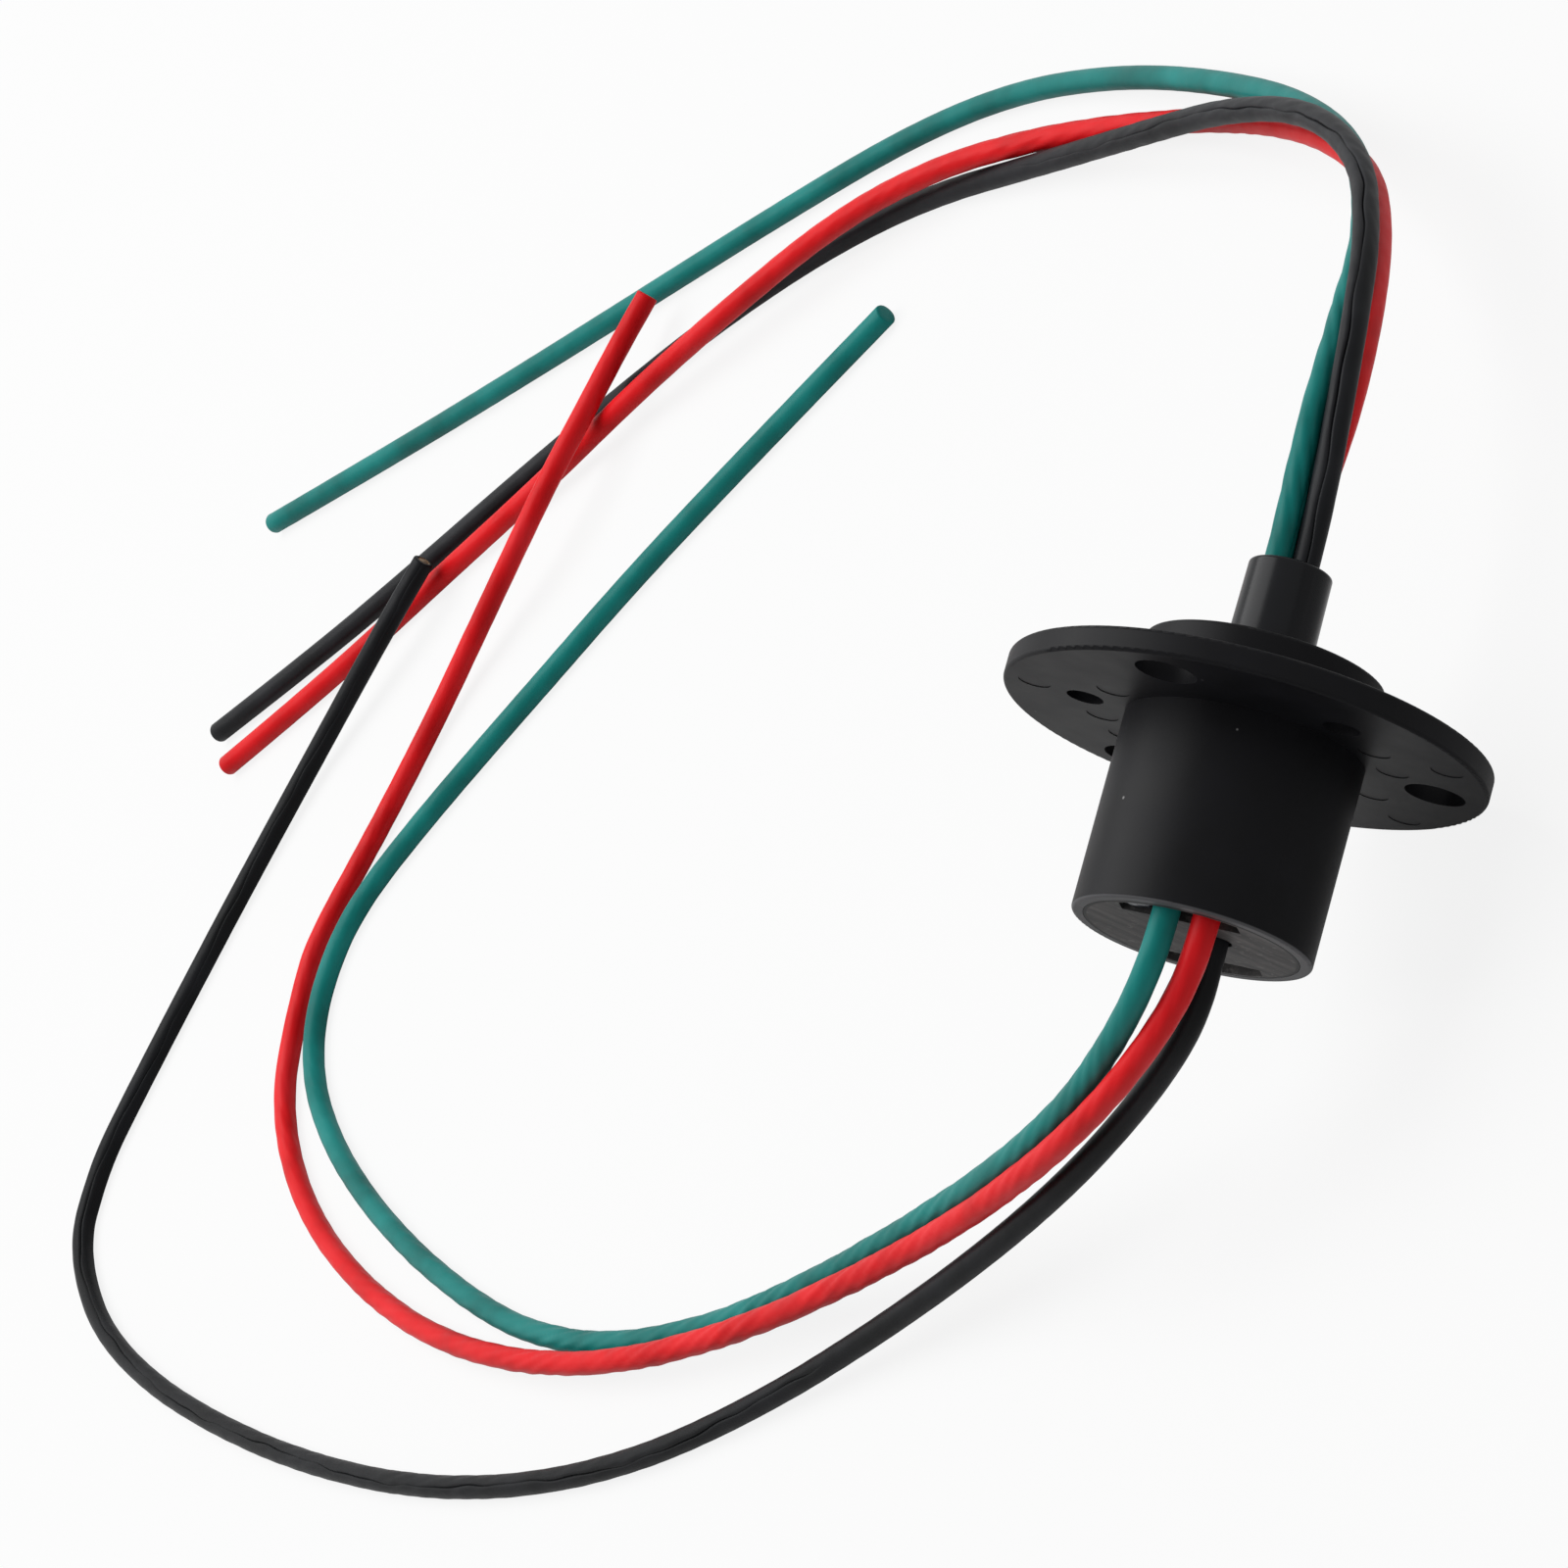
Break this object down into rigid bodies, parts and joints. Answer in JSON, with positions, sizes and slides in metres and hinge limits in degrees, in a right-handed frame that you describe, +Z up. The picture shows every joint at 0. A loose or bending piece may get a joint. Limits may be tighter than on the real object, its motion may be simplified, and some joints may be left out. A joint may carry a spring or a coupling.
{
  "type": "capsule slip ring",
  "caption": "Flanged capsule slip ring: a sealed housing with a turning stub that carries coloured leads through sliding ring contacts to fixed leads at its rear.",
  "frame": {"origin": "centre of the flange's seating face, the side towards the housing body", "axes": "+Y along the rotor axis towards the turning stub, +Z up"},
  "size_m": [0.2826, 0.1563, 0.0444],
  "materials": {
    "housing_plastic": "satin moulded black",
    "cap_plastic": "satin moulded dark grey",
    "carrier_plastic": "plain moulded grey",
    "rotor_plastic": "satin moulded black",
    "spacer_brass": "turned",
    "ring_brass": "polished, plated",
    "barrier_plastic": "natural moulded",
    "brush_metal": "drawn wire",
    "block_board": "laminate board",
    "bearing_steel": "ground steel",
    "lead_green": "soft insulation, satin",
    "lead_red": "soft insulation, satin",
    "lead_black": "soft insulation, satin"
  },
  "bodies": {
    "stator": {"housing": "housing_plastic", "end_cap": "cap_plastic", "rear_carrier": "carrier_plastic", "brush_block_upper": "block_board", "brush_block_lower": "block_board", "brush_upper_1": "brush_metal", "brush_upper_2": "brush_metal", "brush_upper_3": "brush_metal", "brush_lower_1": "brush_metal", "brush_lower_2": "brush_metal", "brush_lower_3": "brush_metal", "front_bearing_outer": "bearing_steel", "rear_bearing_outer": "bearing_steel", "stator_lead_green": "lead_green", "stator_lead_red": "lead_red", "stator_lead_black": "lead_black"},
    "rotor": {"rotor_shaft": "rotor_plastic", "rear_spacer": "spacer_brass", "contact_ring_1": "ring_brass", "contact_ring_2": "ring_brass", "contact_ring_3": "ring_brass", "barrier_disc_1": "barrier_plastic", "barrier_disc_2": "barrier_plastic", "barrier_disc_3": "barrier_plastic", "barrier_disc_4": "barrier_plastic", "front_bearing_inner": "bearing_steel", "rear_bearing_inner": "bearing_steel", "rotor_lead_green": "lead_green", "rotor_lead_red": "lead_red", "rotor_lead_black": "lead_black"},
    "front_balls": {"front_bearing_balls": "bearing_steel"},
    "rear_balls": {"rear_bearing_balls": "bearing_steel"}
  },
  "joints": [
    {"name": "rotor_spin", "type": "hinge", "parent": "stator", "child": "rotor", "pos_m": [0, 0, 0], "axis": [0, 1, 0], "continuous": true},
    {"name": "front_balls_orbit", "type": "hinge", "parent": "stator", "child": "front_balls", "pos_m": [0, 0.00465, 0], "axis": [0, 1, 0], "continuous": true},
    {"name": "rear_balls_orbit", "type": "hinge", "parent": "stator", "child": "rear_balls", "pos_m": [0, -0.012, 0], "axis": [0, 1, 0], "continuous": true}
  ],
  "couplings": [
    {"joint": "front_balls_orbit", "follows": "rotor_spin", "ratio": 0.43},
    {"joint": "rear_balls_orbit", "follows": "rotor_spin", "ratio": 0.4143}
  ]
}
